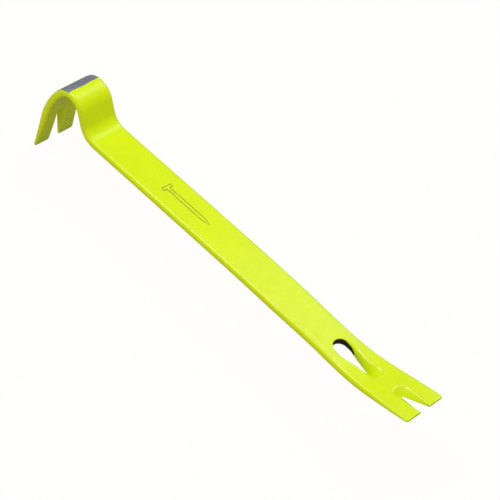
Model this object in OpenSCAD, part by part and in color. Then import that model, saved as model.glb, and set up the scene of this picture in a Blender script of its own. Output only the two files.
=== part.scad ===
// One-piece forged flat pry bar with a powder-coat film.
//
// The bar lies along X: hook at -X, claw at +X, +Z up through the crown. It is mirrored about the XZ
// plane. The origin is the middle of the flat run's underside, on the film.
//
// A place on the bar is written [d, y, n]: d is the distance from an end along the bar, y is across it,
// and n is the height above the middle of the thickness.

/* [Shank] */
// Width of the flat run
shank_w = 30.9; // [27:0.1:36]
// Thickness of the bar over the film
bar_t = 6; // [5:0.1:7]
// Length of the flat run
flat_len = 113.6; // [60:0.2:200]
// Radius of the long edges
edge_r = 2.4; // [1:0.1:2.4]
// Thickness left at both ends
end_t = 1.6; // [1.2:0.1:2.4]
// Corner radius at both ends, seen from above
corner_r = 2.2; // [1:0.1:4]

/* [Hook] */
// Radius of the foot of the rise at mid thickness
rise_r = 15.4; // [12:0.2:22]
// Steepness of the rise in degrees
rise_turn = 63.7; // [50:0.1:75]
// Straight length of the rise
rise_len = 10.9; // [6:0.1:20]
// Radius of the crown at mid thickness
crown_r = 13.2; // [11:0.1:18]
// Turn of the crown in degrees
crown_turn = 117; // [105:1:125]
// Radius of the sweep below the crown
sweep_r = 65; // [50:5:120]
// Turn of the sweep in degrees
sweep_turn = 31.3; // [15:0.1:34]
// Straight length of the hook's blade
blade_len = 31.4; // [30:0.2:50]
// Width across the hook's end
hook_w = 37.5; // [34:0.5:44]
// Length over which the hook thins
hook_taper = 40; // [36:2:60]

/* [Claw] */
// Radius of the slight downward bow after the flat run
bow_r = 2700; // [1500:100:6000]
// Turn of the bow in degrees
bow_turn = 2.7; // [1:0.1:4]
// Radius of the upward kick
kick_r = 160; // [120:5:220]
// Turn of the kick in degrees
kick_turn = 14.7; // [10:0.1:20]
// Straight length of the claw's blade
claw_len = 37.8; // [34:0.2:50]
// Width across the claw's end
claw_w = 36; // [34:0.5:44]
// Narrowest width, just behind the nail slot
waist_w = 29.6; // [26:0.1:31]
// Distance of the narrowest width from the claw's end
waist_d = 92; // [86:1:110]
// Length over which the claw thins
claw_taper = 56; // [50:2:110]

/* [Nail slot] */
// Radius of the slot's round end
slot_r = 6.15; // [5.5:0.05:6.7]
// Distance of the round end's centre from the claw's end
slot_d = 77.8; // [77:0.2:80]
// Distance of the slot's point from the claw's end
slot_point_d = 53.5; // [52:0.1:55]
// Radius of the slot's point
slot_point_r = 0.7; // [0.5:0.1:1]
// Lean of the slot's tapered sides in degrees
slot_lean = 15.4; // [15:0.1:16.5]
// Distance from the claw's end at which the slot's bevel starts
bevel_start_d = 69; // [66:0.5:70]
// Half width of the bevel at its start
bevel_start_w = 6; // [5.4:0.1:6.4]
// Distance of the narrowest place of the bevel from the claw's end
bevel_neck_d = 58; // [57:0.5:60]
// Half width of the bevel at its narrowest place
bevel_neck_w = 4.6; // [4:0.1:5]
// Distance of the widest place of the bevel from the claw's end
bevel_wide_d = 44; // [43.5:0.5:46]
// Half width of the bevel at its widest place
bevel_wide_w = 6.3; // [5.5:0.1:7.5]
// Distance of the bevel's last place from the claw's end
bevel_end_d = 41.5; // [38:0.5:42]

/* [V notches] */
// Depth of the claw's notch
claw_notch = 20.5; // [16:0.5:23]
// Half width of the claw's notch at its mouth
claw_mouth = 4.4; // [3.5:0.1:6]
// Half width of the bevel around the claw notch's root
claw_bevel = 6.2; // [5:0.1:7.5]
// Depth of the hook's notch
hook_notch = 26; // [20:0.5:28]
// Half width of the hook's notch at its mouth
hook_mouth = 5.1; // [4:0.1:6]
// Half width of the bevel around the hook notch's root
hook_bevel = 5.2; // [4.6:0.1:6]
// Radius of each notch's root
root_r = 0.6; // [0.4:0.1:1]

/* [Finish] */
// Thickness of the powder-coat film
coat_t = 0.15; // [0.1:0.05:0.3]
// Depth of steel ground away on the crown
grind_depth = 0.1; // [0.05:0.05:0.3]
// Start of the ground strip, in degrees past the crown's top
strip_start = 5.5; // [0:0.5:15]
// End of the ground strip, in degrees past the crown's top
strip_end = 56; // [30:1:60]

/* [Hidden] */

// Steps of one rounded edge, and of the half circles in the cutters
edge_steps = 3;
root_steps = 10;
// How far a cutter reaches past the surface it cuts
past = 3;
// Share of the thinning that lifts the middle of the thickness towards the outer face
lift = 0.2;
// Distance over which the shank narrows to its waist
neck_len = 46;

// Each leg starts at the foot of the rise and is a list of [length, turn, steps]
foot = [-flat_len / 2, bar_t / 2];
hook_leg = [
    [arc_len(rise_r, rise_turn), -rise_turn, 12],
    [rise_len, 0, 1],
    [arc_len(crown_r, crown_turn), crown_turn, 26],
    [arc_len(sweep_r, sweep_turn), sweep_turn, 8],
    [blade_len, 0, 6]
];
claw_leg = [
    [flat_len, 0, 1],
    [arc_len(bow_r, bow_turn), -bow_turn, 10],
    [arc_len(kick_r, kick_turn), kick_turn, 8],
    [claw_len, 0, 6]
];
hook_len = leg_len(hook_leg);
claw_total = leg_len(claw_leg);
// Distance of the crown's top from the hook's end
crown_top_d = hook_len - arc_len(rise_r, rise_turn) - rise_len - arc_len(crown_r, rise_turn);

function arc_len(r, turn) = r * turn * PI / 180;
function leg_len(leg) = [for (s = leg) s[0]] * [for (s = leg) 1];
function ease(u) = let (v = max(0, min(1, u))) v * v * (3 - 2 * v);
function mix(a, b, u) = a + (b - a) * u;

// A pose is [x, z, heading]; bend() moves it along one arc or straight line
function bend(p, length, turn) =
    turn == 0
        ? [p[0] + length * cos(p[2]), p[1] + length * sin(p[2]), p[2]]
        : let (r = length * 180 / (turn * PI), h = p[2] + turn)
          [p[0] + r * (sin(h) - sin(p[2])), p[1] - r * (cos(h) - cos(p[2])), h];
function pose_at(leg, p, s, i = 0) =
    let (length = leg[i][0], turn = leg[i][1])
    s <= length || i == len(leg) - 1
        ? bend(p, s, turn * s / length)
        : pose_at(leg, bend(p, length, turn), s - length, i + 1);

// Frame of a leg at distance d from its end: [x, z, normal x, normal z], normal towards the outer face
function claw_frame(d) =
    let (p = pose_at(claw_leg, [foot[0], foot[1], 0], claw_total - d))
    [p[0], p[1], -sin(p[2]), cos(p[2])];
function hook_frame(d) =
    let (p = pose_at(hook_leg, [foot[0], foot[1], 180], hook_len - d))
    [p[0], p[1], sin(p[2]), -cos(p[2])];
function lay(f, y, n) = [f[0] + n * f[2], y, f[1] + n * f[3]];

// Thickness and width at distance d from an end
function thin(d, taper) = mix(end_t, bar_t, sin(90 * max(0, min(1, d / taper))));
function claw_t(d) = thin(d, claw_taper);
function hook_t(d) = thin(d, hook_taper);
function claw_width(d) =
    d < waist_d
        ? mix(waist_w, claw_w, ease(1 - d / waist_d))
        : mix(waist_w, shank_w, ease((d - waist_d) / neck_len));
function hook_width(d) = mix(shank_w, hook_w, pow(max(0, 1 - d / crown_top_d), 1.9));
function rise_of_mid(t) = lift * (bar_t - t) / 2;

// Width lost to the rounded corners at distance d from an end
function corner_loss(d, r) = d >= r ? 0 : 2 * (r - sqrt(max(0, r * r - (r - d) * (r - d))));

// One cross-section: a rounded rectangle laid into frame f
function section(f, w, t, r, mid) = [
    for (q = [0:3])
        for (k = [0:edge_steps])
            let (
                a = 90 * (q + k / edge_steps),
                y = (q == 0 || q == 3 ? 1 : -1) * (w / 2 - r) + r * cos(a),
                n = (q < 2 ? 1 : -1) * (t / 2 - r) + r * sin(a)
            )
            lay(f, y, n + mid)
];

// Distances of the cross-sections from one end, closer together at the rounded corners
function stops(leg, e) = [
    for (i = [0:len(leg) - 1])
        let (
            before = i == 0 ? 0 : leg_len([for (k = [0:i - 1]) leg[k]]),
            total = leg_len(leg),
            last = i == len(leg) - 1,
            far = last ? leg[i][0] - corner_r : leg[i][0]
        )
        for (j = [0:leg[i][2] - (last ? 0 : 1)])
            total - before - far * j / leg[i][2],
    for (a = [30:30:90])
        e + (corner_r - e) * (1 - sin(a))
];

// The whole bar shrunk by e on every face, with no notch or slot
module blank(e) {
    r_of = function(t) min(edge_r, t / 2 - 0.05) - e;
    hook_rings = [
        for (d = stops(hook_leg, e))
            let (t = hook_t(d), w = hook_width(d) - corner_loss(d - e, corner_r - e))
            section(hook_frame(d), w - 2 * e, t - 2 * e, r_of(t), rise_of_mid(t))
    ];
    claw_rings = [
        for (d = stops(claw_leg, e))
            let (t = claw_t(d), w = claw_width(d) - corner_loss(d - e, corner_r - e))
            section(claw_frame(d), w - 2 * e, t - 2 * e, r_of(t), rise_of_mid(t))
    ];
    skin([
        for (i = [len(hook_rings) - 1:-1:1]) hook_rings[i],
        for (ring = claw_rings) ring
    ]);
}

// Point k of a strip that zigzags across a ring of m points, so that the ring closes with flat triangles
function zigzag(k, m) = k % 2 == 0 ? k / 2 : m - (k + 1) / 2;
function lid(m, first, up) = [
    for (k = [0:m - 3])
        let (a = first + zigzag(k, m), b = first + zigzag(k + 1, m), c = first + zigzag(k + 2, m))
        (k % 2 == 0) == up ? [a, c, b] : [a, b, c]
];

// A closed solid through rings of equal point count
module skin(rings) {
    m = len(rings[0]);
    n = len(rings);
    sides = [
        for (i = [0:n - 2])
            for (j = [0:m - 1])
                let (a = i * m + j, b = i * m + (j + 1) % m)
                each [[a, a + m, b + m], [a, b + m, b]]
    ];
    polyhedron(
        [for (ring = rings) each ring],
        concat(sides, lid(m, 0, true), lid(m, (n - 1) * m, false))
    );
}

// Cutter between an outline on the top face, sunk by e, and one on the bottom face; outlines list [d, y]
module bevel_cut(frame_of, t_of, top, bottom, e, flip = 1) {
    high = function(d) rise_of_mid(t_of(d)) + flip * (t_of(d) / 2 - e);
    low = function(d) rise_of_mid(t_of(d)) - flip * t_of(d) / 2;
    rings = [
        [for (p = top) lay(frame_of(p[0]), p[1], high(p[0]) + flip * past)],
        [for (p = top) lay(frame_of(p[0]), p[1], high(p[0]))],
        [for (p = bottom) lay(frame_of(p[0]), p[1], low(p[0]))],
        [for (p = bottom) lay(frame_of(p[0]), p[1], low(p[0]) - flip * past)]
    ];
    skin(rings);
}

// Outline of a notch: open at the end of the bar, with a round root of radius r centred at root_d
function notch(mouth, root_d, r) =
    let (open = mouth + (mouth - r) * past / root_d)
    [
        [-past, -open],
        for (k = [0:root_steps])
            let (a = 180 * k / root_steps)
            [root_d + r * sin(a), -r * cos(a)],
        [-past, open]
    ];

module claw_notch_cut(e) {
    bevel_cut(
        function(d) claw_frame(d),
        function(d) claw_t(max(0, d)),
        notch(claw_mouth + e, claw_notch, claw_bevel + e),
        notch(claw_mouth + e, claw_notch - root_r, root_r + e),
        e
    );
}

// The hook is bevelled on its inner face
module hook_notch_cut(e) {
    bevel_cut(
        function(d) hook_frame(d),
        function(d) hook_t(max(0, d)),
        notch(hook_mouth + e, hook_notch + hook_bevel, hook_bevel + e),
        notch(hook_mouth + e, hook_notch - root_r, root_r + e),
        e,
        -1
    );
}

// Half width of the tapered slot, tangent to its point; it widens up to the parallel sides at shoulder_d
shoulder_d = slot_point_d + (slot_r - slot_point_r / cos(slot_lean)) / tan(slot_lean);
function slot_half(d) = slot_point_r / cos(slot_lean) + (d - slot_point_d) * tan(slot_lean);

// Slot short of its round end, and the scooped bevel around its point; wall and scoop are their offsets
module slot_taper(wall, scoop) {
    seam_d = bevel_start_d - 2 * coat_t;
    start = [
        [slot_d + wall, slot_r / 2],
        [slot_d - slot_r / 6, slot_r + wall],
        [shoulder_d, slot_r + wall],
        [bevel_start_d, slot_half(bevel_start_d) + wall]
    ];
    top = concat(start, [
        [seam_d, bevel_start_w + scoop],
        [mix(seam_d, bevel_neck_d, 0.55), mix(bevel_start_w, bevel_neck_w, 0.65) + scoop],
        [bevel_neck_d, bevel_neck_w + scoop],
        [bevel_wide_d, bevel_wide_w + scoop],
        [bevel_end_d + 0.8, bevel_wide_w - 0.7 + scoop],
        [bevel_end_d - scoop, 0]
    ]);
    bottom = concat(start, [
        for (d = [seam_d, mix(seam_d, bevel_neck_d, 0.55), bevel_neck_d, slot_point_d + 1, slot_point_d])
            [d, slot_half(d) + scoop],
        [slot_point_d - slot_point_r - scoop, 0]
    ]);
    mirrored = function(side)
        concat(side, [for (i = [len(side) - 2:-1:0]) [side[i][0], -side[i][1]]]);
    bevel_cut(function(d) claw_frame(d), function(d) claw_t(d), mirrored(top), mirrored(bottom), scoop);
}

// Round end of the slot, straight through the bar
module slot_round() {
    f = claw_frame(slot_d);
    translate([f[0], 0, f[1]])
        rotate([0, atan2(f[2], f[3]), 0])
            cylinder(h = 2 * bar_t, r = slot_r, center = true, $fn = 64);
}

// Sector of the crown above the ground surface
module strip_cut() {
    f = hook_frame(crown_top_d);
    ground_r = crown_r + bar_t / 2 - coat_t - grind_depth;
    reach = 2 * crown_r;
    translate([f[0], 0, f[1] - crown_r])
        rotate([90, 0, 0])
            difference() {
                linear_extrude(height = 2 * shank_w, center = true)
                    polygon([
                        [0, 0],
                        reach * [-sin(strip_start), cos(strip_start)],
                        reach * [-sin(strip_end), cos(strip_end)]
                    ]);
                cylinder(h = 3 * shank_w, r = ground_r, center = true, $fn = 180);
            }
}

// The bar without its film, before the bare places are opened; wall is the offset of the slot's flat walls
module core(wall) {
    difference() {
        blank(coat_t);
        claw_notch_cut(coat_t);
        hook_notch_cut(coat_t);
        slot_taper(wall, coat_t);
    }
}

module forged_bar() {
    color("slategray")
        difference() {
            core(coat_t);
            slot_round();
            strip_cut();
        }
}

// The film is the outer shape less the core; the slot's round end and the crown strip stay bare
module powder_coat() {
    color("greenyellow")
        difference() {
            blank(0);
            claw_notch_cut(0);
            hook_notch_cut(0);
            slot_round();
            slot_taper(coat_t, 0);
            strip_cut();
            core(-coat_t);
        }
}

forged_bar();
powder_coat();
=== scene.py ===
"""Hi-vis powder-coated pry bar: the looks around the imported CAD, in metres, in the CAD's frame.

The bar is drawn flat first, on a sheet with s along the bar from the hook's end and y across it. The sheet is
cut up along every edge that shows, given an upper and a lower height, and bent along the bar's path.
"""

import math

import bmesh
import bpy
import numpy as np
from mathutils import Euler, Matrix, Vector
from mathutils.geometry import delaunay_2d_cdt


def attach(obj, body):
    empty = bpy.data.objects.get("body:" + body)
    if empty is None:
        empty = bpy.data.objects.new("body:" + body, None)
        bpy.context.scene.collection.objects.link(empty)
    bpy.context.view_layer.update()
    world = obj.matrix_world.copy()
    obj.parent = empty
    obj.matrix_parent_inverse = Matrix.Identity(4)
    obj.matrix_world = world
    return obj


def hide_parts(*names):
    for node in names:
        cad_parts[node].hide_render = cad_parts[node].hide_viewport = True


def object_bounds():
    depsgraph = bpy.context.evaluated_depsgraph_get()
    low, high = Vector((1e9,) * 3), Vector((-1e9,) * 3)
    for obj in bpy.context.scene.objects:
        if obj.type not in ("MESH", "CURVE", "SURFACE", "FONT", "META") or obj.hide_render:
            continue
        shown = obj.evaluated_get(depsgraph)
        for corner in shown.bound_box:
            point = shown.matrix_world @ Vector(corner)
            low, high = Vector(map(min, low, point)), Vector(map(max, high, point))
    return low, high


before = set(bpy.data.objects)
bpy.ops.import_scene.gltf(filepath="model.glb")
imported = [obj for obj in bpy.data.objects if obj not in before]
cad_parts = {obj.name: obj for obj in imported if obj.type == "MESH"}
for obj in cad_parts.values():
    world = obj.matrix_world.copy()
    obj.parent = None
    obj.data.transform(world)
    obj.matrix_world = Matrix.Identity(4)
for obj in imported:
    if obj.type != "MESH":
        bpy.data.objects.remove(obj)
cad_lo, cad_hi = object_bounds()
MM = 0.001

# ---------------------------------------------------------------- sizes, as in the CAD, mm and degrees
SHANK_W, BAR_T, FLAT_LEN = 30.9, 6.0, 113.6
EDGE_R, END_T, CORNER_R = 2.4, 1.6, 2.2
RISE_R, RISE_TURN, RISE_LEN = 15.4, 63.7, 10.9
CROWN_R, CROWN_TURN = 13.2, 117.0
SWEEP_R, SWEEP_TURN = 65.0, 31.3
BLADE_LEN, HOOK_W, HOOK_TAPER, HOOK_FLARE_POWER = 31.4, 37.5, 40.0, 1.9
BOW_R, BOW_TURN = 2700.0, 2.7
KICK_R, KICK_TURN = 160.0, 14.7
CLAW_LEN, CLAW_W, WAIST_W, WAIST_D, CLAW_TAPER = 37.8, 36.0, 29.6, 92.0, 56.0
SLOT_R, SLOT_D, SLOT_POINT_D, SLOT_POINT_R, SLOT_LEAN = 6.15, 77.8, 53.5, 0.7, 15.4
BEVEL_START_D, BEVEL_WIDE_D, BEVEL_END_D, BEVEL_WIDE_W = 69.0, 44.0, 41.5, 6.3
CLAW_NOTCH, CLAW_MOUTH, CLAW_BEVEL = 20.5, 4.4, 6.2
HOOK_NOTCH, HOOK_MOUTH, HOOK_BEVEL, ROOT_R = 26.0, 5.1, 5.2, 0.6
COAT_T, GRIND, LIFT, NECK_LEN = 0.15, 0.1, 0.2, 46.0

# ---------------------------------------------------------------- sizes of the finish, finer than the CAD's
# The crown's ground strip: degrees past the crown's top where it starts and ends, and its gap to each side.
# It reaches a little further towards the hook and down the sides than the CAD's strip
STRIP_START, STRIP_END, STRIP_MARGIN = 5.5, 61.0, 0.75
# How far the slot's bare wall is set back from the coated surface
WALL_COAT = 0.05
# Thickness left at a bevel's through edge, softness of its ridge, softness of the slot's shoulder
LAND, RIDGE_SOFT, SHOULDER_SOFT = 0.3, 0.55, 0.35
# Radius of the small edges, and the least thickness at an end
SMALL_R, THINNEST = 0.32, 0.14
# Depth that the nail drawing's lines are pressed in, and their width
STROKE_DEPTH, STROKE = 0.06, 0.6


def arc_len(r, turn):
    return r * math.radians(turn)


# Each leg starts at the foot of the rise: (length, turn)
HOOK_LEG = [
    (arc_len(RISE_R, RISE_TURN), -RISE_TURN),
    (RISE_LEN, 0),
    (arc_len(CROWN_R, CROWN_TURN), CROWN_TURN),
    (arc_len(SWEEP_R, SWEEP_TURN), SWEEP_TURN),
    (BLADE_LEN, 0),
]
CLAW_LEG = [
    (FLAT_LEN, 0),
    (arc_len(BOW_R, BOW_TURN), -BOW_TURN),
    (arc_len(KICK_R, KICK_TURN), KICK_TURN),
    (CLAW_LEN, 0),
]
HOOK_LEN = sum(length for length, _ in HOOK_LEG)
CLAW_TOTAL = sum(length for length, _ in CLAW_LEG)
TOTAL = HOOK_LEN + CLAW_TOTAL
CROWN_TOP_S = HOOK_LEN - arc_len(RISE_R, RISE_TURN) - RISE_LEN - arc_len(CROWN_R, RISE_TURN)


def walk(leg, heading, step=0.1):
    """Distances, x, z and heading along a leg, from the foot of the rise."""
    x, z, h, done = -FLAT_LEN / 2, BAR_T / 2, math.radians(heading), 0.0
    rows = [(0.0, x, z, h)]
    for length, turn in leg:
        n = max(1, int(round(length / step)))
        k = math.radians(turn) / length
        for i in range(1, n + 1):
            a = length * i / n
            if turn:
                px = x + (math.sin(h + k * a) - math.sin(h)) / k
                pz = z - (math.cos(h + k * a) - math.cos(h)) / k
            else:
                px, pz = x + a * math.cos(h), z + a * math.sin(h)
            rows.append((done + a, px, pz, h + k * a))
        done, x, z, h = rows[-1]
    return np.array(rows)


hook_walk, claw_walk = walk(HOOK_LEG, 180), walk(CLAW_LEG, 0)
path = np.concatenate(
    [
        np.column_stack(
            [HOOK_LEN - hook_walk[::-1, 0], hook_walk[::-1, 1:3], hook_walk[::-1, 3] - math.pi]
        ),
        np.column_stack([HOOK_LEN + claw_walk[1:, 0], claw_walk[1:, 1:]]),
    ]
)


def spine(s):
    """x, z and the outward normal of the bar's middle at distance s from the hook's end."""
    x, z, h = (np.interp(s, path[:, 0], path[:, k]) for k in (1, 2, 3))
    return x, z, -np.sin(h), np.cos(h)


def ease(u):
    u = np.clip(u, 0, 1)
    return u * u * (3 - 2 * u)


def mix(a, b, u):
    return a + (b - a) * u


def soft_min(p, q, k):
    """The smaller of p and q, blended where they are less than k apart."""
    return np.minimum(p, q) - np.maximum(k - np.abs(p - q), 0) ** 2 / (4 * k)


def thickness(s):
    hook = mix(END_T, BAR_T, np.sin(np.pi / 2 * np.clip(s / HOOK_TAPER, 0, 1)))
    claw = mix(END_T, BAR_T, np.sin(np.pi / 2 * np.clip((TOTAL - s) / CLAW_TAPER, 0, 1)))
    return np.minimum(hook, claw)


def half_width(s):
    """Half the bar's width, with the rounded corners at both ends."""
    d = TOTAL - s
    hook = mix(SHANK_W, HOOK_W, np.maximum(0, 1 - s / CROWN_TOP_S) ** HOOK_FLARE_POWER)
    claw = np.where(
        d < WAIST_D,
        mix(WAIST_W, CLAW_W, ease(1 - d / WAIST_D)),
        mix(WAIST_W, SHANK_W, ease((d - WAIST_D) / NECK_LEN)),
    )
    w = np.where(s < HOOK_LEN, hook, claw) / 2
    for from_end in (s, d):
        in_corner = np.clip(CORNER_R - from_end, 0, CORNER_R)
        w = w - (CORNER_R - np.sqrt(CORNER_R**2 - in_corner**2))
    return w


def edge_radius(s):
    return np.minimum(EDGE_R, thickness(s) / 2 - 0.05)


# ---------------------------------------------------------------- outlines on the sheet, lists of (s, y)
def closed(line):
    return line + line[:1]


def resample(line, step):
    """The polyline with points about step apart; its corners stay."""
    out = []
    for a, b in zip(line[:-1], line[1:]):
        n = max(1, int(math.ceil(math.dist(a, b) / step)))
        out += [(mix(a[0], b[0], i / n), mix(a[1], b[1], i / n)) for i in range(n)]
    return out + [line[-1]]


def notch(end, mouth, root_d, r, steps=24):
    """Outline of a notch from its mouth at y < 0 round its root and back; end is 0 or TOTAL."""
    sign = 1 if end == 0 else -1
    points = [(0.0, -mouth)]
    points += [
        (root_d + r * math.sin(math.pi * k / steps), -r * math.cos(math.pi * k / steps))
        for k in range(steps + 1)
    ]
    points.append((0.0, mouth))
    return [(end + sign * d, y) for d, y in points]


lean = math.radians(SLOT_LEAN)


def slot_half(d):
    """Half the slot's width where it goes through, short of its round end."""
    tapered = SLOT_POINT_R / math.cos(lean) + (d - SLOT_POINT_D) * math.tan(lean)
    return soft_min(tapered, SLOT_R, SHOULDER_SOFT)


def slot_outline(step=0.6):
    """Keyhole outline of the slot where it goes through, starting at its point."""
    point = [
        (SLOT_POINT_D - SLOT_POINT_R * math.cos(a), SLOT_POINT_R * math.sin(a))
        for a in np.linspace(0, math.pi / 2 - lean, 5)
    ]
    side = [(d, float(slot_half(d))) for d in np.arange(point[-1][0] + step, SLOT_D - 0.3, step)]
    back = [
        (SLOT_D - SLOT_R * math.cos(a), SLOT_R * math.sin(a))
        for a in np.linspace(math.pi / 2, math.pi, 22)
    ]
    half = point + side + back
    return [(TOTAL - d, y) for d, y in half + [(d, -y) for d, y in half[-2:0:-1]]]


# The slot's upper edge is rolled over. Each row is a distance from the claw's end, then the roll's width, its
# depth and the fullness of its rounding
ROLL = np.array(
    [
        (56.0, 3.6, 5.4, 1.2),
        (59.0, 2.75, 5.4, 1.3),
        (62.0, 2.35, 5.4, 1.4),
        (65.5, 2.0, 5.4, 1.6),
        (68.0, 2.0, 5.0, 1.8),
        (69.5, 2.2, 3.4, 2.0),
        (72.5, 2.4, 1.9, 2.0),
        (75.0, 2.2, 1.3, 2.0),
        (77.9, 1.1, 0.8, 2.0),
        (81.2, 0.3, 0.3, 2.0),
    ]
)


def roll_width(d):
    return np.interp(d, ROLL[:, 0], ROLL[:, 1])


# One side of the ridge of the scooped bevel round the slot's point: distance from the claw's end, half width
RIDGE_SIDE = [(d, float(slot_half(d) + roll_width(d))) for d in (68.0, 65.5, 62.0, 59.0, 56.5)] + [
    (53.0, 4.75),
    (49.4, 5.35),
    (46.8, 5.9),
    (BEVEL_WIDE_D + 0.6, BEVEL_WIDE_W - 0.05),
    (BEVEL_WIDE_D - 0.9, BEVEL_WIDE_W),
    (BEVEL_END_D + 0.7, BEVEL_WIDE_W - 0.8),
    (BEVEL_END_D + 0.15, BEVEL_WIDE_W - 2.2),
    (BEVEL_END_D, BEVEL_WIDE_W - 4.2),
    (BEVEL_END_D, 0.0),
]


def rounded(points, times=2):
    """The polyline with its corners cut that many times; both ends stay."""
    for _ in range(times):
        out = [points[0]]
        for a, b in zip(points[:-1], points[1:]):
            out.append((mix(a[0], b[0], 0.25), mix(a[1], b[1], 0.25)))
            out.append((mix(a[0], b[0], 0.75), mix(a[1], b[1], 0.75)))
        points = out + [points[-1]]
    return points


ridge_side = rounded(RIDGE_SIDE)
slot_ridge = [(TOTAL - d, y) for d, y in ridge_side] + [
    (TOTAL - d, -y) for d, y in ridge_side[-2::-1]
]
claw_v = notch(TOTAL, CLAW_MOUTH, CLAW_NOTCH - ROOT_R, ROOT_R, 12)
claw_u = notch(TOTAL, CLAW_MOUTH, CLAW_NOTCH, CLAW_BEVEL)
hook_v = notch(0, HOOK_MOUTH, HOOK_NOTCH - ROOT_R, ROOT_R, 12)
hook_u = notch(0, HOOK_MOUTH, HOOK_NOTCH + HOOK_BEVEL, HOOK_BEVEL)
slot_loop = slot_outline()


# ---------------------------------------------------------------- measuring on the sheet
def nearest(points, line):
    """Distance of each point from a polyline."""
    a, b = np.array(line[:-1]), np.array(line[1:])
    ab = b - a
    best = np.full(len(points), np.inf)
    for p0, v in zip(a, ab):
        w = points - p0
        u = np.clip((w @ v) / max(v @ v, 1e-12), 0, 1)
        best = np.minimum(best, np.hypot(*(w - u[:, None] * v).T))
    return best


def inside(points, loop):
    """Whether each point is inside a closed loop."""
    a = np.array(loop)
    b = np.roll(a, -1, axis=0)
    odd = np.zeros(len(points), bool)
    x, y = points[:, 0], points[:, 1]
    for (x0, y0), (x1, y1) in zip(a, b):
        if y0 != y1:
            crosses = (y0 > y) != (y1 > y)
            odd ^= crosses & (x < (x1 - x0) * (y - y0) / (y1 - y0) + x0)
    return odd


def offset(line, gap):
    """The polyline moved sideways by gap."""
    p = np.array(line)
    tangent = np.gradient(p, axis=0)
    tangent /= np.maximum(np.linalg.norm(tangent, axis=1, keepdims=True), 1e-9)
    return [tuple(q) for q in p + gap * np.column_stack([-tangent[:, 1], tangent[:, 0]])]


# ---------------------------------------------------------------- stations along the bar
# Step between stations on each stretch from the hook's end, finest round the crown
STATION_STEPS = [1.5, 1.2, 0.75, 1.6, 1.1, 2.4, 2.4, 1.5, 1.5]


def stations():
    """Places along the bar that carry a row of points; both rounded ends have their own."""
    out, start = [], 0.0
    for (length, _), step in zip(HOOK_LEG[::-1] + CLAW_LEG, STATION_STEPS):
        end = start + length
        n = int(math.ceil((end - start) / step))
        out += [mix(start, end, i / n) for i in range(n)]
        start = end
    corner = [CORNER_R * (1 - math.sin(math.radians(a))) for a in range(0, 91, 10)]
    keep = [s for s in out if CORNER_R + 0.4 < s < TOTAL - CORNER_R - 0.4]
    every = corner + keep + [TOTAL - c for c in corner]
    return np.array(sorted({round(s, 6) for s in every}))


station = stations()
# Rows of points round the long edges, as angles of the rounding
RING_ANGLES = np.radians([0, 14, 28, 42, 56, 70, 90])
ring_share = 1 - np.cos(RING_ANGLES)


# ---------------------------------------------------------------- the crown's ground strip
def strip_loop():
    """Outline of the bare strip, a little wavy, as ground through the coat by hand."""
    s0 = CROWN_TOP_S - arc_len(CROWN_R, STRIP_END)
    s1 = CROWN_TOP_S - arc_len(CROWN_R, STRIP_START)
    half = SHANK_W / 2 - STRIP_MARGIN
    ys = np.linspace(-half, half, 45)
    low = [(s0 + 0.16 * math.sin(0.55 * y + 0.8) + 0.07 * math.sin(1.7 * y), y) for y in ys]
    high = [(s1 + 0.2 * math.sin(0.33 * y + 2.0) + 0.06 * math.sin(1.9 * y + 1), y) for y in ys]
    side = np.linspace(0, 1, 18)[1:-1]
    right = [
        (mix(low[-1][0], high[-1][0], u), half + 0.10 * math.sin(9 * u) * math.sin(math.pi * u))
        for u in side
    ]
    left = [
        (mix(high[0][0], low[0][0], u), -half - 0.12 * math.sin(7 * u) * math.sin(math.pi * u))
        for u in side
    ]
    return low + right + high[::-1] + left


strip = strip_loop()


# ---------------------------------------------------------------- a plain nail drawn on the shank
NAIL_S, NAIL_LEN, NAIL_HALF, NAIL_POINT = HOOK_LEN + 62.0, 47.0, 1.45, 7.0
HEAD_LEN, HEAD_HALF = 2.6, 3.9
# Grip lines under the nail's head: how many, the first one's place, their spacing, width and half length
GRIPS, GRIP_START, GRIP_STEP, GRIP_W, GRIP_HALF = 4, 5.2, 1.5, 0.36, 0.75


def nail_outline():
    """Outline of a nail lying along the bar, its head towards the hook."""
    head = [(0, 0), (0, HEAD_HALF), (HEAD_LEN, HEAD_HALF), (HEAD_LEN, NAIL_HALF)]
    side = head + [(NAIL_LEN - NAIL_POINT, NAIL_HALF), (NAIL_LEN, 0)]
    full = side + [(s, -y) for s, y in side[-2:0:-1]]
    return [(NAIL_S + s, y) for s, y in full]


def grow(loop, gap):
    """The loop with every side moved outwards by gap and its corners mitred."""
    p = np.array(loop, float)
    area = np.sum(p[:, 0] * np.roll(p[:, 1], -1) - np.roll(p[:, 0], -1) * p[:, 1])
    sign = 1 if area > 0 else -1
    side = np.roll(p, -1, axis=0) - p
    side /= np.linalg.norm(side, axis=1, keepdims=True)
    normal = sign * np.column_stack([side[:, 1], -side[:, 0]])
    mitre = normal + np.roll(normal, 1, axis=0)
    mitre /= np.maximum((mitre * mitre).sum(1, keepdims=True) / 2, 0.35)
    return [tuple(q) for q in p + gap * mitre]


def drawing_strokes():
    """Each stroke as its outer loop and the loop of the hole in it, or None."""
    nail = nail_outline()
    strokes = [(grow(nail, STROKE / 2), grow(nail, -STROKE / 2))]
    for k in range(GRIPS):
        s = NAIL_S + GRIP_START + GRIP_STEP * k
        end = s + GRIP_W
        grip = [(s, -GRIP_HALF), (end, -GRIP_HALF), (end, GRIP_HALF), (s, GRIP_HALF)]
        strokes.append((grip, None))
    return strokes


strokes = drawing_strokes()
stroke_lines = [loop for stroke in strokes for loop in stroke if loop]

# ---------------------------------------------------------------- cutting the sheet into triangles
verts2d, edges2d = [], []


def add_points(points):
    verts2d.extend((float(s), float(y)) for s, y in points)


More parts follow.
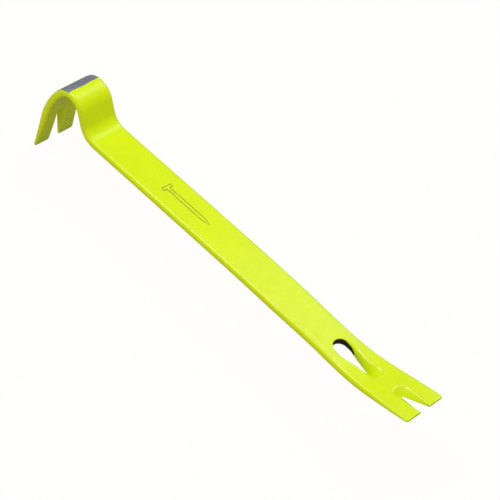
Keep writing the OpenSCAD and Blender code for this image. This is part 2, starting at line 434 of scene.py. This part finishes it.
def add_line(points, is_loop=False):
    first = len(verts2d)
    add_points(points)
    n = len(points)
    edges2d.extend((first + i, first + i + 1) for i in range(n - 1))
    if is_loop:
        edges2d.append((first + n - 1, first))


widths = half_width(station)
claw_end = resample(claw_v, 0.7)
hook_end = resample(hook_v, 0.7)
claw_edge = resample([(TOTAL, widths[-1]), (TOTAL, CLAW_MOUTH)], 0.8)
hook_edge = resample([(0, -widths[0]), (0, -HOOK_MOUTH)], 0.8)
outer_loop = (
    [(s, -w) for s, w in zip(station, widths)][:-1]
    + [(s, -y) for s, y in claw_edge][:-1]
    + claw_end[:-1]
    + claw_edge[::-1][:-1]
    + [(s, w) for s, w in zip(station, widths)][::-1][:-1]
    + [(s, -y) for s, y in hook_edge][:-1]
    + hook_end[::-1][:-1]
    + hook_edge[::-1][:-1]
)
add_line(outer_loop, is_loop=True)
slot_line = resample(closed(slot_loop), 0.6)[:-1]
add_line(slot_line, is_loop=True)
ridge_line = resample(slot_ridge, 0.6)
claw_ridge = resample(claw_u, 0.7)
hook_ridge = resample(hook_u, 0.7)
ridges = (ridge_line, claw_ridge, hook_ridge)
for line in ridges:
    add_line(line)
add_line([(TOTAL - SLOT_POINT_D + 0.9, 0.0), (TOTAL - BEVEL_END_D - 0.2, 0.0)])
add_line(strip, is_loop=True)
for loop in stroke_lines:
    add_line(resample(closed(loop), 1.2)[:-1], is_loop=True)

# Points between the edges: rows round the long edges and across the flat, a finer grid round the notches and
# the slot, and rows along each ridge and each through edge
COLUMNS, GRID = 12, 0.5
cloud = []
radius = edge_radius(station)
for share in ring_share[1:]:
    for sign in (-1, 1):
        cloud += [(s, sign * (w - r * share)) for s, w, r in zip(station, widths, radius)]
for i, (s, w, r) in enumerate(zip(station, widths, radius)):
    shift = 0.5 if i % 2 else 0.0
    cloud += [(s, (w - r) * (2 * (k + shift) / COLUMNS - 1)) for k in range(1, COLUMNS)]
for line in (claw_edge, hook_edge):
    for sign in (-1, 1):
        for d in (0.08, 0.25, 0.6):
            cloud += [(abs(s - d), sign * y) for s, y in line[1:-1]]
# Each grid: its start and end as distances from an end of the bar, that end, and its reach to each side
for d0, d1, end, reach in ((0.6, 29.0, TOTAL, 8), (40.0, 84.0, TOTAL, 9.5), (0.6, 39.0, 0, 8)):
    for i, d in enumerate(np.arange(d0, d1, GRID)):
        for y in np.arange(-reach, reach + 0.01, GRID):
            cloud.append((abs(end - d), y + (GRID / 2 if i % 2 else 0)))
for line in ridges:
    for gap in (-0.5, -0.22, 0.22, 0.5):
        cloud += offset(line, gap)
for line in (claw_end, hook_end, closed(slot_line)):
    for gap in (-0.3, -0.1, 0.1, 0.3):
        cloud += offset(line, gap)
cloud = np.array(cloud)

# A point is dropped where it lies off the sheet, or would crowd an edge or another point
OUTLINE_GAP, THROUGH_GAP, RIDGE_GAP, STROKE_GAP, CELL = 0.008, 0.06, 0.09, 0.15, 0.07
ok = (cloud[:, 0] > 0) & (cloud[:, 0] < TOTAL)
ok &= np.abs(cloud[:, 1]) < half_width(np.clip(cloud[:, 0], 0, TOTAL)) - OUTLINE_GAP
for line in (claw_end, hook_end, closed(slot_line)):
    ok &= ~inside(cloud, line) & (nearest(cloud, line) > THROUGH_GAP)
for line in (*ridges, closed(strip)):
    ok &= nearest(cloud, line) > RIDGE_GAP
for loop in stroke_lines:
    ok &= nearest(cloud, closed(loop)) > STROKE_GAP
cloud = cloud[ok]
cell = np.round(cloud / CELL).astype(int)
_, first_in_cell = np.unique(cell, axis=0, return_index=True)
add_points(cloud[np.sort(first_in_cell)])

sheet = delaunay_2d_cdt([Vector(v) for v in verts2d], edges2d, [], 0, 1e-5, False)
points = np.array([(v.x, v.y) for v in sheet[0]])
triangles = np.array([list(f) for f in sheet[2]])
centre = points[triangles].mean(axis=1)
keep = inside(centre, outer_loop) & ~inside(centre, slot_line)
triangles = triangles[keep]
used, triangles = np.unique(triangles, return_inverse=True)
triangles = triangles.reshape(-1, 3)
points = points[used]
a, b, c = (points[triangles[:, k]] for k in range(3))
winding = (b[:, 0] - a[:, 0]) * (c[:, 1] - a[:, 1]) - (b[:, 1] - a[:, 1]) * (c[:, 0] - a[:, 0])
triangles[winding < 0] = triangles[winding < 0][:, ::-1]
centre = points[triangles].mean(axis=1)

# ---------------------------------------------------------------- heights over the sheet
# For each point: S from the hook's end, Y across the bar, D from the claw's end, distance from the axis
S, Y = points[:, 0], points[:, 1]
D, from_axis = TOTAL - S, np.abs(Y)
stock = thickness(S)
mid = LIFT * (BAR_T - stock) / 2
outer_face = mid + stock / 2
top, low = outer_face, mid - stock / 2
# How far from the axis, and from each end, a notch or the slot can change a height
CUT_REACH, CLAW_CUT_LEN, HOOK_CUT_LEN = 11, 34, 44


def bevelled(near, through_edge, ridge, face, back):
    """The face lowered from the ridge to the through edge, where only LAND is left over the back."""
    p = points[near]
    d_through, d_ridge = nearest(p, through_edge), nearest(p, ridge)
    width = d_through + np.where(inside(p, ridge), d_ridge, -d_ridge)
    share = d_through / np.maximum(width, 0.05)
    out, face, back = face.copy(), face[near], back[near]
    out[near] = soft_min(face, back + LAND + (face - back - LAND) * share, RIDGE_SOFT)
    return out


# The claw's notch is bevelled from above and the hook's from its inner face
near_claw = (D < CLAW_CUT_LEN) & (from_axis < CUT_REACH)
near_hook = (S < HOOK_CUT_LEN) & (from_axis < CUT_REACH)
top = bevelled(near_claw, claw_end, claw_ridge, top, low)
low = -bevelled(near_hook, hook_end, hook_ridge, -low, -top)

# The slot's rolled edge, and the valley that rises from its point to the blunt end, from above
SCOOP_POWER, FLOOR_POWER = 1.1, 1.7
# How far before the slot's point the roll starts to turn into the valley, and over what length
BLEND_START, BLEND_LEN = 2.5, 3.5
TIP_D = SLOT_POINT_D - SLOT_POINT_R
near = (D > BEVEL_END_D - 2.5) & (D < SLOT_D + SLOT_R + 1.5) & (from_axis < CUT_REACH)
crest_line = np.array(ridge_side)[::-1]
gap = np.where(
    D > SLOT_D,
    np.hypot(D - SLOT_D, Y) - SLOT_R,
    from_axis - np.where(D > TIP_D, slot_half(D), 0),
)
wide, deep, full = (np.interp(D, ROLL[:, 0], ROLL[:, k]) for k in (1, 2, 3))
whole = outer_face - low - LAND
left = np.clip(1 - gap / wide, 0, 1)
rolled = np.minimum(deep, whole) * (1 - (1 - left**full) ** (1 / full))
crest = np.interp(D, crest_line[:, 0], crest_line[:, 1])
through = from_axis - gap
floor_drop = whole * (1 - np.clip((TIP_D - D) / (TIP_D - BEVEL_END_D), 0, 1) ** FLOOR_POWER)
scooped = floor_drop * np.clip(1 - gap / np.maximum(crest - through, 0.3), 0, 1) ** SCOOP_POWER
drop = mix(rolled, scooped, ease((SLOT_POINT_D + BLEND_START - D) / BLEND_LEN))
top = np.where(near, np.minimum(top, outer_face - drop), top)


def edge_drop(r, from_edge):
    """Drop of a surface whose edge is rounded with radius r, at a distance from that edge."""
    in_edge = np.clip(r - from_edge, 0, r)
    return r - np.sqrt(np.maximum(r * r - in_edge**2, 0))


# Rounded long edges, the small radius on every other edge, and the least thickness
drop = edge_drop(edge_radius(S), half_width(S) - from_axis)
ends = np.minimum.reduce([nearest(points, claw_end), nearest(points, hook_end), S, D])
top = top - drop - edge_drop(SMALL_R, ends)
low = low + drop + edge_drop(SMALL_R, np.minimum(ends, nearest(points, closed(slot_line))))
thin = np.maximum(THINNEST - (top - low), 0)
top, low = top + thin / 2, low - thin / 2

# Triangles that the drawing's strokes cover
stroke_face = np.zeros(len(triangles), bool)
for outside, hole in strokes:
    hit = inside(centre, outside)
    if hole:
        hit &= ~inside(centre, hole)
    stroke_face |= hit

# ---------------------------------------------------------------- the sheet bent into the bar
x, z, nx, nz = spine(S)


def place(n):
    return np.column_stack([x + n * nx, Y, z + n * nz])


count = len(points)
solid = np.concatenate([place(top), place(low)])
bar_map = np.concatenate([np.column_stack([S, Y, top]), np.column_stack([S, Y, low])])

# How much handling has rubbed the coat: most along the ridges, less along the long edges
RUB_RIDGE_W, RUB_EDGE_W, RUB_EDGE_SHARE, RUB_EDGE_PLACE = 0.75, 0.9, 0.6, 0.65
ridge_gap = np.minimum.reduce([nearest(points, line) for line in ridges])
edge_gap = half_width(S) - from_axis - EDGE_R * RUB_EDGE_PLACE
rub_ridge = np.exp(-((ridge_gap / RUB_RIDGE_W) ** 2))
rub_edge = RUB_EDGE_SHARE * np.exp(-((edge_gap / RUB_EDGE_W) ** 2))
rubbed = np.tile(np.maximum(rub_ridge, rub_edge), 2)


def open_edges(polygons):
    """Edges that only one polygon has, each in that polygon's direction."""
    edges = dict.fromkeys((f[k], f[(k + 1) % len(f)]) for f in polygons for k in range(len(f)))
    return [(p, q) for p, q in edges if (q, p) not in edges]


upper = [tuple(f) for f in triangles.tolist()]
lower = [tuple(count + k for k in f[::-1]) for f in upper]
rim = open_edges(upper)
faces = upper + lower + [(p, count + p, count + q, q) for p, q in rim]

# The slot's wall is left without coat round its round end and along its parallel sides, and its steel there
# is coloured near-black green as painted shade inside the slot
COAT_FACE, STROKE_FACE, GROUND_FACE, WALL_FACE = range(4)
kind = np.full(len(faces), COAT_FACE)
kind[:len(upper)][stroke_face] = STROKE_FACE
kind[:len(upper)][inside(centre, strip)] = GROUND_FACE
for i, (p, q) in enumerate(rim, 2 * len(upper)):
    s_mid, y_mid = (points[p] + points[q]) / 2
    if BEVEL_START_D < TOTAL - s_mid < SLOT_D + SLOT_R + 0.5 and abs(y_mid) < SLOT_R + 0.85:
        kind[i] = WALL_FACE

normals = np.zeros_like(solid)
for f in faces:
    v = solid[list(f)]
    n = np.cross(v[1] - v[0], v[2] - v[0])
    if len(f) == 4:
        n = n + np.cross(v[2] - v[0], v[3] - v[0])
    for k in f:
        normals[k] += n
normals /= np.maximum(np.linalg.norm(normals, axis=1, keepdims=True), 1e-12)

touch = np.zeros((len(solid), 4), bool)
for f, k in zip(faces, kind):
    touch[list(f), k] = True
depth = np.full(len(solid), COAT_T)
depth[touch[:, GROUND_FACE]] = COAT_T + GRIND
depth[touch[:, WALL_FACE]] = WALL_COAT
outer = solid - normals * (touch[:, STROKE_FACE] * STROKE_DEPTH)[:, None]
inner = solid - normals * depth[:, None]


# ---------------------------------------------------------------- meshes
def make(name, vertices, polygons, slots, materials, bar_points, rub_share):
    """A smooth mesh that rides the root body and carries its place on the bar and its rubbing."""
    mesh = bpy.data.meshes.new(name)
    mesh.from_pydata((vertices * MM).tolist(), [], polygons)
    for m in materials:
        mesh.materials.append(m)
    mesh.polygons.foreach_set("material_index", np.array(slots, np.int32))
    where = mesh.attributes.new("bar_map", "FLOAT_VECTOR", "POINT")
    where.data.foreach_set("vector", bar_points.astype(np.float32).ravel())
    rub = mesh.attributes.new("rubbed", "FLOAT", "POINT")
    rub.data.foreach_set("value", rub_share.astype(np.float32))
    mesh.validate(clean_customdata=False)
    bm = bmesh.new()
    bm.from_mesh(mesh)
    loose = [v for v in bm.verts if not v.link_faces]
    bmesh.ops.delete(bm, geom=loose, context="VERTS")
    bmesh.ops.recalc_face_normals(bm, faces=bm.faces)
    bm.to_mesh(mesh)
    bm.free()
    mesh.polygons.foreach_set("use_smooth", np.ones(len(mesh.polygons), bool))
    mesh.set_sharp_from_angle(angle=math.radians(38))
    obj = bpy.data.objects.new(name, mesh)
    bpy.context.scene.collection.objects.link(obj)
    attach(obj, "root")
    return obj


# ---------------------------------------------------------------- materials
class Nodes:
    """Short way to build a node material."""

    def __init__(self, name):
        self.material = bpy.data.materials.new(name)
        self.material.use_nodes = True
        self.tree = self.material.node_tree
        self.bsdf = self.tree.nodes["Principled BSDF"]

    def add(self, kind, inputs=None, **props):
        node = self.tree.nodes.new(kind)
        for key, value in props.items():
            setattr(node, key, value)
        for key, value in (inputs or {}).items():
            self.put(node.inputs[key], value)
        return node

    def put(self, socket, value):
        if isinstance(value, bpy.types.NodeSocket):
            self.tree.links.new(value, socket)
        else:
            socket.default_value = value

    def math(self, operation, p, q=0.0, clamp=False):
        node = self.add("ShaderNodeMath", {0: p, 1: q}, operation=operation)
        node.use_clamp = clamp
        return node.outputs[0]

    def map(self, value, lo, hi, to_lo=0.0, to_hi=1.0, smooth=False):
        node = self.add(
            "ShaderNodeMapRange",
            {"Value": value, "From Min": lo, "From Max": hi, "To Min": to_lo, "To Max": to_hi},
        )
        if smooth:
            node.interpolation_type = "SMOOTHSTEP"
        return node.outputs[0]

    def noise(self, vector, scale, detail=3.0, rough=0.5):
        node = self.add(
            "ShaderNodeTexNoise",
            {"Vector": vector, "Scale": scale, "Detail": detail, "Roughness": rough},
        )
        return node.outputs["Fac"]

    def blend(self, fac, p, q):
        node = self.add("ShaderNodeMix", data_type="RGBA")
        self.put(node.inputs["Factor"], fac)
        self.put(node.inputs["A"], p)
        self.put(node.inputs["B"], q)
        return node.outputs["Result"]

    def scaled(self, vector, scale):
        node = self.add("ShaderNodeMapping", {"Vector": vector, "Scale": scale})
        return node.outputs["Vector"]

    def bump(self, height, strength, distance, normal=None):
        node = self.add(
            "ShaderNodeBump", {"Height": height, "Strength": strength, "Distance": distance}
        )
        if normal is not None:
            self.put(node.inputs["Normal"], normal)
        return node.outputs["Normal"]


def srgb(r, g, b):
    def lin(c):
        c /= 255
        return c / 12.92 if c <= 0.04045 else ((c + 0.055) / 1.055) ** 2.4

    return (lin(r), lin(g), lin(b), 1.0)


def coat_material():
    n = Nodes("hi_vis_powder_coat")
    place_map = n.add("ShaderNodeAttribute", attribute_name="bar_map").outputs["Vector"]
    point = n.add("ShaderNodeTexCoord").outputs["Object"]
    broad = n.noise(n.scaled(place_map, (0.02, 0.05, 0.05)), 1.0, 2.0)
    blotch = n.noise(point, 90.0, 4.0, 0.55)
    base = n.blend(n.map(broad, 0.3, 0.7), srgb(209, 237, 1), srgb(203, 233, 2))
    base = n.blend(n.map(blotch, 0.42, 0.72, 0.0, 0.22), base, srgb(194, 224, 1))
    speck = n.map(n.noise(point, 1400.0, 2.0), 0.66, 0.74, 0.0, 0.35)
    base = n.blend(speck, base, srgb(170, 196, 10))
    pointy = n.add("ShaderNodeNewGeometry").outputs["Pointiness"]
    convex = n.map(pointy, 0.53, 0.60, 0.0, 1.0, True)
    scuff = n.map(n.noise(point, 420.0, 5.0, 0.7), 0.56, 0.68)
    wear = n.math("MULTIPLY", n.math("MULTIPLY", convex, scuff), 0.08)
    base = n.blend(wear, base, srgb(150, 160, 40))
    n.put(n.bsdf.inputs["Base Color"], base)
    rough = n.map(n.noise(point, 160.0, 3.0), 0.3, 0.7, 0.25, 0.35)
    rubbed = n.add("ShaderNodeAttribute", attribute_name="rubbed").outputs["Fac"]
    n.put(n.bsdf.inputs["Roughness"], n.math("SUBTRACT", rough, n.math("MULTIPLY", rubbed, 0.08)))
    n.put(n.bsdf.inputs["IOR"], 1.5)
    n.put(n.bsdf.inputs["Specular IOR Level"], n.map(rubbed, 0.0, 1.0, 0.24, 0.95))
    peel = n.noise(point, 750.0, 2.0, 0.5)
    waves = n.noise(point, 110.0, 2.0, 0.4)
    bumped = n.bump(waves, 0.18, 0.0006)
    bumped = n.bump(peel, 0.22, 0.00012, bumped)
    n.put(n.bsdf.inputs["Normal"], bumped)
    return n.material


def stroke_material():
    n = Nodes("pressed_drawing_lines")
    point = n.add("ShaderNodeTexCoord").outputs["Object"]
    patchy = n.map(n.noise(point, 600.0, 3.0), 0.35, 0.7)
    base = n.blend(patchy, srgb(140, 132, 24), srgb(104, 92, 34))
    n.put(n.bsdf.inputs["Base Color"], base)
    n.put(n.bsdf.inputs["Roughness"], n.map(patchy, 0.0, 1.0, 0.5, 0.7))
    n.put(n.bsdf.inputs["Normal"], n.bump(patchy, 0.3, 0.0001))
    return n.material


def ground_material():
    n = Nodes("ground_bare_steel")
    place_map = n.add("ShaderNodeAttribute", attribute_name="bar_map").outputs["Vector"]
    point = n.add("ShaderNodeTexCoord").outputs["Object"]
    lines = n.noise(n.scaled(place_map, (0.10, 6.0, 1.0)), 1.0, 5.0, 0.65)
    fine = n.noise(n.scaled(place_map, (0.25, 16.0, 1.0)), 1.0, 3.0, 0.6)
    cloudy = n.noise(point, 140.0, 3.0)
    base = n.blend(n.map(lines, 0.3, 0.7), srgb(140, 147, 170), srgb(184, 192, 216))
    base = n.blend(n.map(fine, 0.35, 0.75, 0.0, 0.5), base, srgb(104, 108, 128))
    base = n.blend(n.map(cloudy, 0.45, 0.8, 0.0, 0.3), base, srgb(122, 122, 142))
    n.put(n.bsdf.inputs["Base Color"], base)
    n.put(n.bsdf.inputs["Metallic"], 0.6)
    n.put(n.bsdf.inputs["Roughness"], n.map(lines, 0.25, 0.75, 0.34, 0.52))
    n.put(n.bsdf.inputs["Anisotropic"], 0.5)
    grooves = n.bump(lines, 0.35, 0.00005)
    n.put(n.bsdf.inputs["Normal"], n.bump(fine, 0.25, 0.00002, grooves))
    return n.material


# The slot's wall: a near-black green that is painted shade inside the slot, with a few rust-brown patches on
# it
def wall_shade_material():
    n = Nodes("dark_wall_painted_shade")
    point = n.add("ShaderNodeTexCoord").outputs["Object"]
    patchy = n.noise(point, 500.0, 5.0, 0.6)
    rust = n.map(n.noise(point, 260.0, 4.0, 0.6), 0.6, 0.75, 0.0, 0.5)
    # Painted shade: near-black green for the inside of the slot
    base = n.blend(n.map(patchy, 0.3, 0.7), srgb(24, 36, 14), srgb(46, 54, 38))
    base = n.blend(rust, base, srgb(66, 58, 34))
    n.put(n.bsdf.inputs["Base Color"], base)
    n.put(n.bsdf.inputs["Metallic"], 0.35)
    n.put(n.bsdf.inputs["Roughness"], n.map(patchy, 0.3, 0.7, 0.45, 0.7))
    n.put(n.bsdf.inputs["Normal"], n.bump(patchy, 0.5, 0.0002))
    return n.material


coat_mat, stroke_mat = coat_material(), stroke_material()
ground_mat, wall_shade_mat = ground_material(), wall_shade_material()

# ---------------------------------------------------------------- the coat: a closed film with two windows
behind = len(solid)
painted = [f for f, k in zip(faces, kind) if k in (COAT_FACE, STROKE_FACE)]
border = open_edges(painted)
film_faces = painted + [tuple(behind + v for v in f[::-1]) for f in painted]
film_faces += [(p, behind + p, behind + q, q) for p, q in border]
painted_slots = [k for k in kind.tolist() if k in (COAT_FACE, STROKE_FACE)]
coat = make(
    "powder_coat_film",
    np.concatenate([outer, inner]),
    film_faces,
    painted_slots + [COAT_FACE] * (len(painted) + len(border)),
    [coat_mat, stroke_mat],
    np.tile(bar_map, (2, 1)),
    np.tile(rubbed, 2),
)
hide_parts("powder_coat")

# ---------------------------------------------------------------- the steel under it
steel = make(
    "forged_steel_bar",
    inner,
    faces,
    kind == WALL_FACE,
    [ground_mat, wall_shade_mat],
    bar_map,
    rubbed,
)
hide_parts("forged_bar")

# ---------------------------------------------------------------- floor
FLOOR_HALF, FLOOR_DROP = 3.0, 0.0004
# What the floor bounces on to the bar, and the share and strength of the white that the camera sees there
FLOOR_BOUNCE, FLOOR_GLOW, GLOW_STRENGTH = 0.46, 0.9, 1.06


def floor_material():
    n = Nodes("pale_floor")
    point = n.add("ShaderNodeTexCoord").outputs["Object"]
    warm = (FLOOR_BOUNCE, FLOOR_BOUNCE * 0.86, FLOOR_BOUNCE * 0.75, 1)
    pale = (FLOOR_BOUNCE, FLOOR_BOUNCE * 0.88, FLOOR_BOUNCE * 0.78, 1)
    n.put(n.bsdf.inputs["Base Color"], n.blend(n.noise(point, 3.0, 2.0), warm, pale))
    n.put(n.bsdf.inputs["Roughness"], 0.9)
    n.put(n.bsdf.inputs["Specular IOR Level"], 0.1)
    glow = n.add("ShaderNodeEmission", {"Color": (1, 1, 1, 1), "Strength": GLOW_STRENGTH})
    camera_ray = n.add("ShaderNodeLightPath").outputs["Is Camera Ray"]
    seen = n.math("MULTIPLY", camera_ray, FLOOR_GLOW)
    both = n.add("ShaderNodeMixShader", {0: seen, 1: n.bsdf.outputs[0], 2: glow.outputs[0]})
    n.put(n.tree.nodes["Material Output"].inputs["Surface"], both.outputs[0])
    return n.material


floor_mesh = bpy.data.meshes.new("floor")
floor_z = cad_lo[2] - FLOOR_DROP
corners = [(-1, -1), (1, -1), (1, 1), (-1, 1)]
floor_mesh.from_pydata(
    [(x_sign * FLOOR_HALF, y_sign * FLOOR_HALF, floor_z) for x_sign, y_sign in corners],
    [],
    [(0, 1, 2, 3)],
)
floor = bpy.data.objects.new("floor", floor_mesh)
bpy.context.scene.collection.objects.link(floor)
floor_mesh.materials.append(floor_material())
floor.visible_glossy = False

# ---------------------------------------------------------------- light
scene = bpy.context.scene
scene.view_settings.view_transform = "Standard"
scene.view_settings.look = "None"
world = bpy.data.worlds.new("studio")
world.use_nodes = True
tree = world.node_tree
tree.nodes.clear()


def sky(color, strength):
    node = tree.nodes.new("ShaderNodeBackground")
    node.inputs["Color"].default_value = (*color, 1.0)
    node.inputs["Strength"].default_value = strength
    return node.outputs[0]


def sky_mix(factor, p, q):
    node = tree.nodes.new("ShaderNodeMixShader")
    for socket, value in zip(node.inputs, (factor, p, q)):
        tree.links.new(value, socket)
    return node.outputs[0]


# Diffuse light is warm and even, reflections see a darker room, and the camera sees white
ROOM_LIGHT, ROOM_REFLECTION = 0.56, 0.2
rays = tree.nodes.new("ShaderNodeLightPath").outputs
warm_room, cool_room = sky((1.0, 0.84, 0.7), ROOM_LIGHT), sky((0.94, 0.97, 1.0), ROOM_REFLECTION)
room = sky_mix(rays["Is Glossy Ray"], warm_room, cool_room)
room = sky_mix(rays["Is Camera Ray"], room, sky((1.0, 1.0, 1.0), 1.0))
tree.links.new(room, tree.nodes.new("ShaderNodeOutputWorld").inputs["Surface"])
scene.world = world

# Name, place from the middle of the bar (m), size (m), power (W), colour, whether it shows in reflections
LIGHTS = [
    ("overhead", (0.15, 0.1, 1.3), (1.5, 1.5), 4.1, (0.95, 1.0, 1.0), False),
    ("back_softbox", (-0.20, 0.77, 1.09), (0.6, 0.5), 4.2, (1.0, 1.0, 1.0), True),
    ("edge_softbox", (-0.5, -0.15, 1.2), (0.4, 0.45), 4.2, (1.0, 1.0, 1.0), True),
    ("right_fill", (1.2, -0.1, 0.7), (0.9, 0.9), 0.3, (1.0, 1.0, 1.0), False),
    ("front_fill", (0.0, -1.25, 0.1), (1.0, 1.0), 6.0, (1.0, 0.84, 0.5), False),
    ("left_fill", (-1.2, -0.5, 0.1), (0.8, 0.8), 1.5, (1.0, 0.85, 0.6), False),
]
middle = (Vector(cad_lo) + Vector(cad_hi)) / 2
for name, place_from_middle, size, power, color, reflected in LIGHTS:
    light = bpy.data.lights.new(name, "AREA")
    light.shape = "RECTANGLE"
    light.size, light.size_y = size
    light.energy = power
    light.color = color
    lamp = bpy.data.objects.new(name, light)
    lamp.location = middle + Vector(place_from_middle)
    lamp.rotation_mode = "QUATERNION"
    lamp.rotation_quaternion = (middle - lamp.location).to_track_quat("-Z", "Y")
    lamp.visible_glossy = reflected
    scene.collection.objects.link(lamp)

# ---------------------------------------------------------------- camera
CAMERA_PLACE = Vector((667.2, -785.2, 1036.7))
CAMERA_TURN = Euler([math.radians(a) for a in (42.826, -9.311, 46.175)], "XYZ")
SENSOR_W, LENS = 36.0, 146.1456

camera_data = bpy.data.cameras.new("camera")
camera_data.sensor_width = SENSOR_W
camera_data.lens = LENS
camera_data.clip_start, camera_data.clip_end = 0.05, 20.0
camera = bpy.data.objects.new("camera", camera_data)
camera.location = CAMERA_PLACE * MM
camera.rotation_euler = CAMERA_TURN
scene.collection.objects.link(camera)
scene.camera = camera

bpy.context.view_layer.update()
